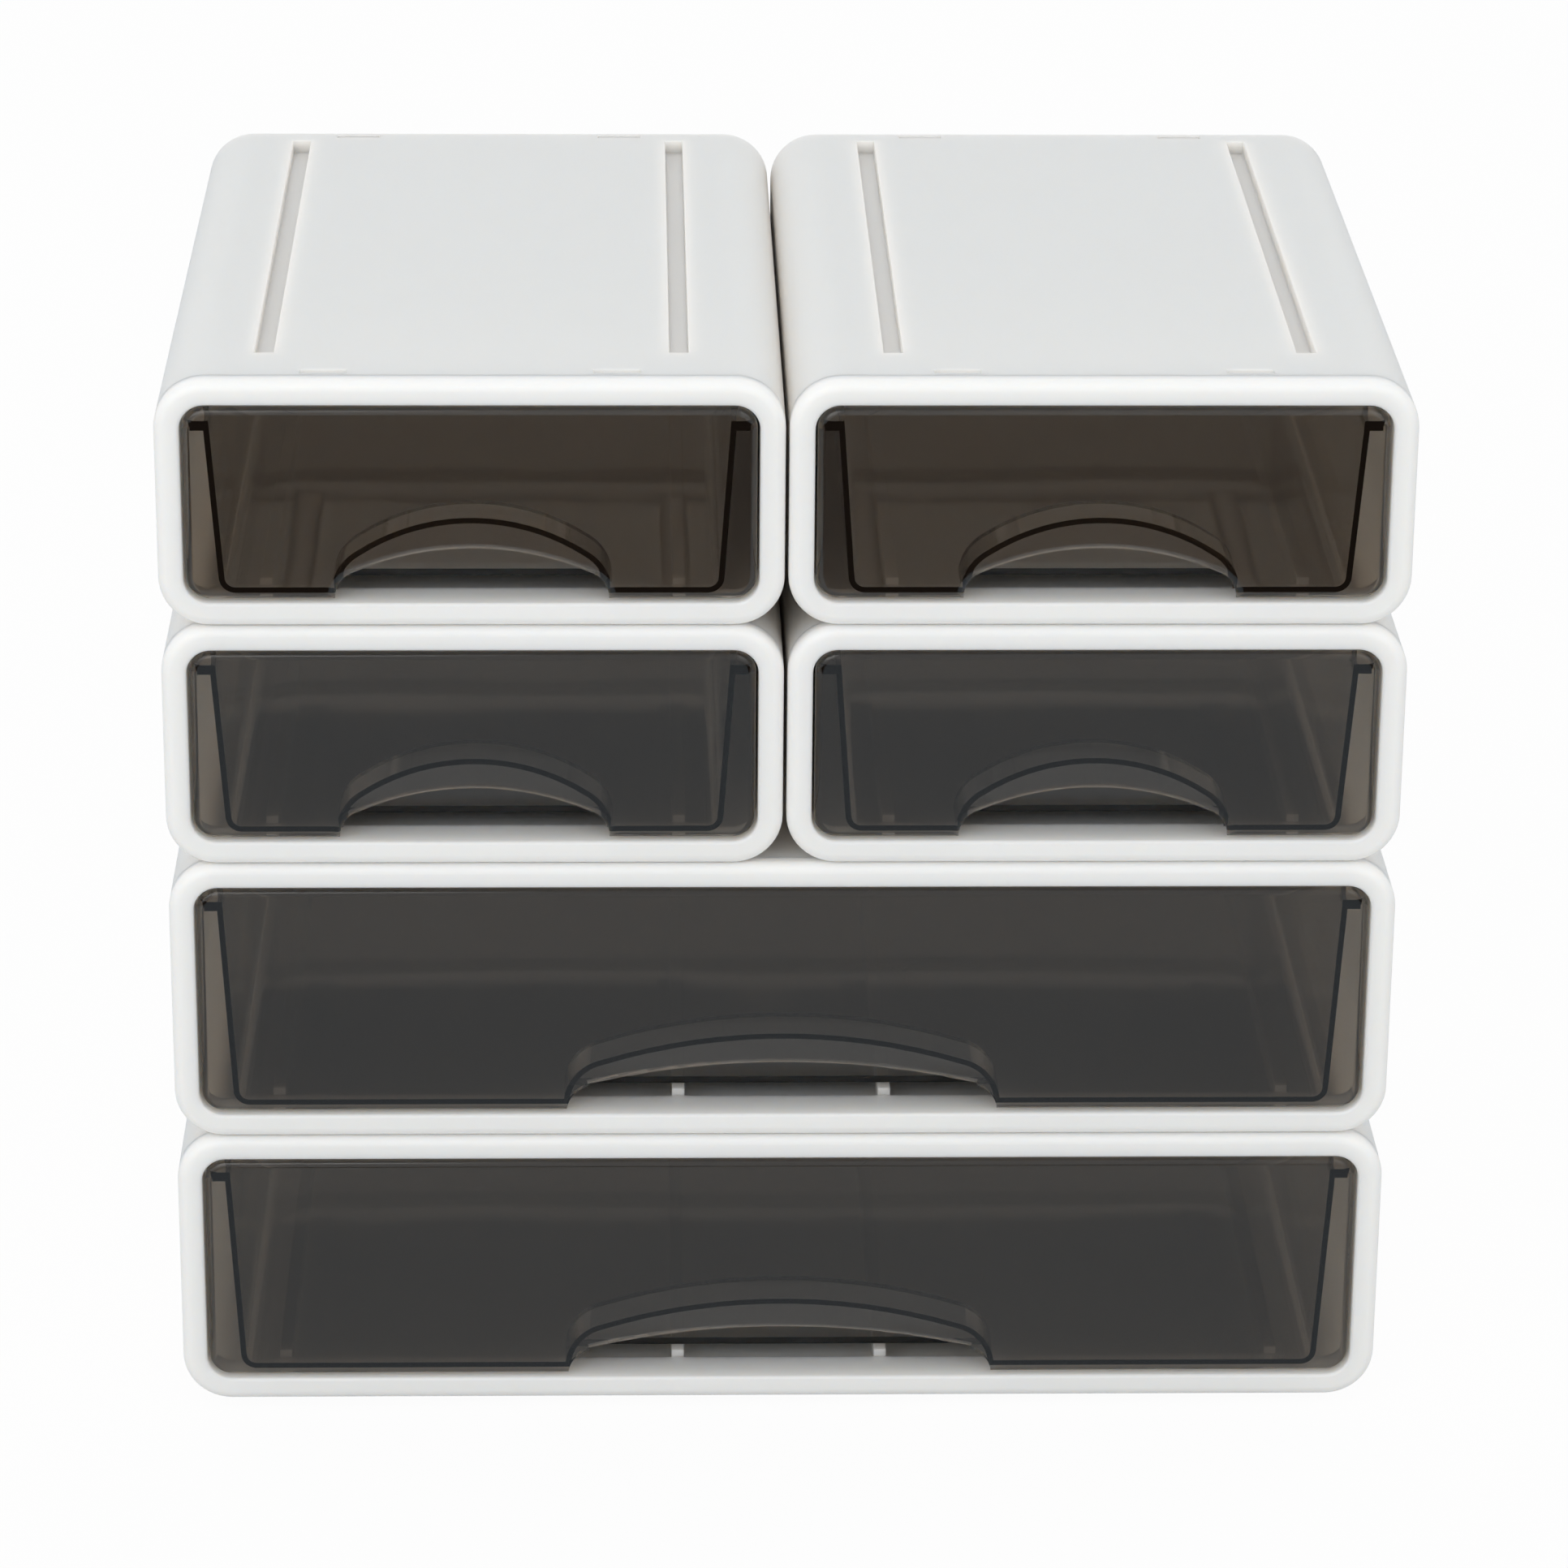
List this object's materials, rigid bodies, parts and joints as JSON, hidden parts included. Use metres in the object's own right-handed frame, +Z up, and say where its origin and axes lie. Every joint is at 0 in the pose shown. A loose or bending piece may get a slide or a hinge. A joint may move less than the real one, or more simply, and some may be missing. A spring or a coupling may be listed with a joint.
{
  "type": "stackable desk drawer organizer",
  "caption": "Stacked desk drawer modules, half-width over full-width: white rounded sleeves with front frames, and smoked drawers that slide out by an arched finger pull.",
  "frame": {"origin": "middle of the stack's footprint, on the surface that it stands on", "axes": "+Z up, +X to the right seen from the front, and the drawers open towards -Y"},
  "size_m": [0.345, 0.245, 0.3135],
  "materials": {
    "white_plastic": "satin moulded",
    "smoked_plastic": "glossy moulded, see-through"
  },
  "bodies": {
    "wide_lower_case": {"wide_lower_sleeve": "white_plastic", "wide_lower_back_panel": "white_plastic", "wide_lower_front_frame": "white_plastic"},
    "wide_lower_tray": {"wide_lower_drawer": "smoked_plastic"},
    "wide_upper_case": {"wide_upper_sleeve": "white_plastic", "wide_upper_back_panel": "white_plastic", "wide_upper_front_frame": "white_plastic"},
    "wide_upper_tray": {"wide_upper_drawer": "smoked_plastic"},
    "left_lower_case": {"left_lower_sleeve": "white_plastic", "left_lower_back_panel": "white_plastic", "left_lower_front_frame": "white_plastic"},
    "left_lower_tray": {"left_lower_drawer": "smoked_plastic"},
    "right_lower_case": {"right_lower_sleeve": "white_plastic", "right_lower_back_panel": "white_plastic", "right_lower_front_frame": "white_plastic"},
    "right_lower_tray": {"right_lower_drawer": "smoked_plastic"},
    "left_upper_case": {"left_upper_sleeve": "white_plastic", "left_upper_back_panel": "white_plastic", "left_upper_front_frame": "white_plastic"},
    "left_upper_tray": {"left_upper_drawer": "smoked_plastic"},
    "right_upper_case": {"right_upper_sleeve": "white_plastic", "right_upper_back_panel": "white_plastic", "right_upper_front_frame": "white_plastic"},
    "right_upper_tray": {"right_upper_drawer": "smoked_plastic"}
  },
  "joints": [
    {"name": "wide_lower_drawer_slide", "type": "slide", "parent": "wide_lower_case", "child": "wide_lower_tray", "axis": [0, -1, 0], "range_m": [0, 0.17]},
    {"name": "wide_upper_drawer_slide", "type": "slide", "parent": "wide_upper_case", "child": "wide_upper_tray", "axis": [0, -1, 0], "range_m": [0, 0.17]},
    {"name": "left_lower_drawer_slide", "type": "slide", "parent": "left_lower_case", "child": "left_lower_tray", "axis": [0, -1, 0], "range_m": [0, 0.17]},
    {"name": "right_lower_drawer_slide", "type": "slide", "parent": "right_lower_case", "child": "right_lower_tray", "axis": [0, -1, 0], "range_m": [0, 0.17]},
    {"name": "left_upper_drawer_slide", "type": "slide", "parent": "left_upper_case", "child": "left_upper_tray", "axis": [0, -1, 0], "range_m": [0, 0.17]},
    {"name": "right_upper_drawer_slide", "type": "slide", "parent": "right_upper_case", "child": "right_upper_tray", "axis": [0, -1, 0], "range_m": [0, 0.17]},
    {"name": "wide_upper_lift", "type": "slide", "parent": "wide_lower_case", "child": "wide_upper_case", "axis": [0, 0, 1], "range_m": [0, 0.03]},
    {"name": "left_lower_lift", "type": "slide", "parent": "wide_upper_case", "child": "left_lower_case", "axis": [0, 0, 1], "range_m": [0, 0.03]},
    {"name": "right_lower_lift", "type": "slide", "parent": "wide_upper_case", "child": "right_lower_case", "axis": [0, 0, 1], "range_m": [0, 0.03]},
    {"name": "left_upper_lift", "type": "slide", "parent": "left_lower_case", "child": "left_upper_case", "axis": [0, 0, 1], "range_m": [0, 0.03]},
    {"name": "right_upper_lift", "type": "slide", "parent": "right_lower_case", "child": "right_upper_case", "axis": [0, 0, 1], "range_m": [0, 0.03]}
  ]
}
